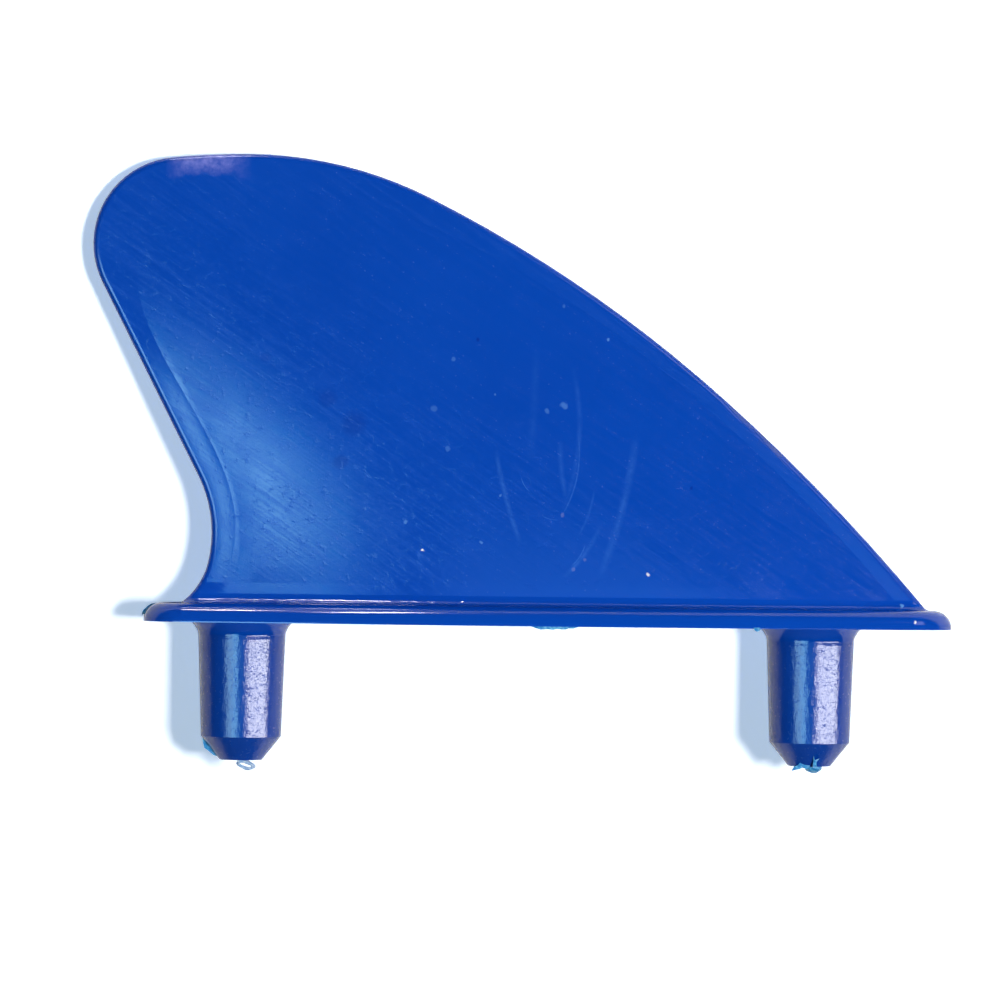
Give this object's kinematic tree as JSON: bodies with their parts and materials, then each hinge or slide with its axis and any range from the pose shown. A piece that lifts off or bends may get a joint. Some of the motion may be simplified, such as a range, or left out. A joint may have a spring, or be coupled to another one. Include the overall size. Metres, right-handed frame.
{
  "type": "paddleboard fin",
  "caption": "One-piece moulded plastic fin with a raked, foiled blade, a foot flange and tapered pegs that push into plugs in a board.",
  "frame": {"origin": "on the flat underside of the foot flange, half-way between the two pegs", "axes": "+X towards the foot of the leading edge, the front of the fin; +Y across the blade; +Z from the flange to the tip of the blade, with the pegs pointing down"},
  "size_m": [0.1212, 0.022, 0.0852],
  "materials": {
    "fin_plastic": "deep cobalt blue moulded plastic, satin on the blade and glossy on the flange and pegs"
  },
  "bodies": {
    "root": {"fin": "fin_plastic"}
  },
  "joints": []
}
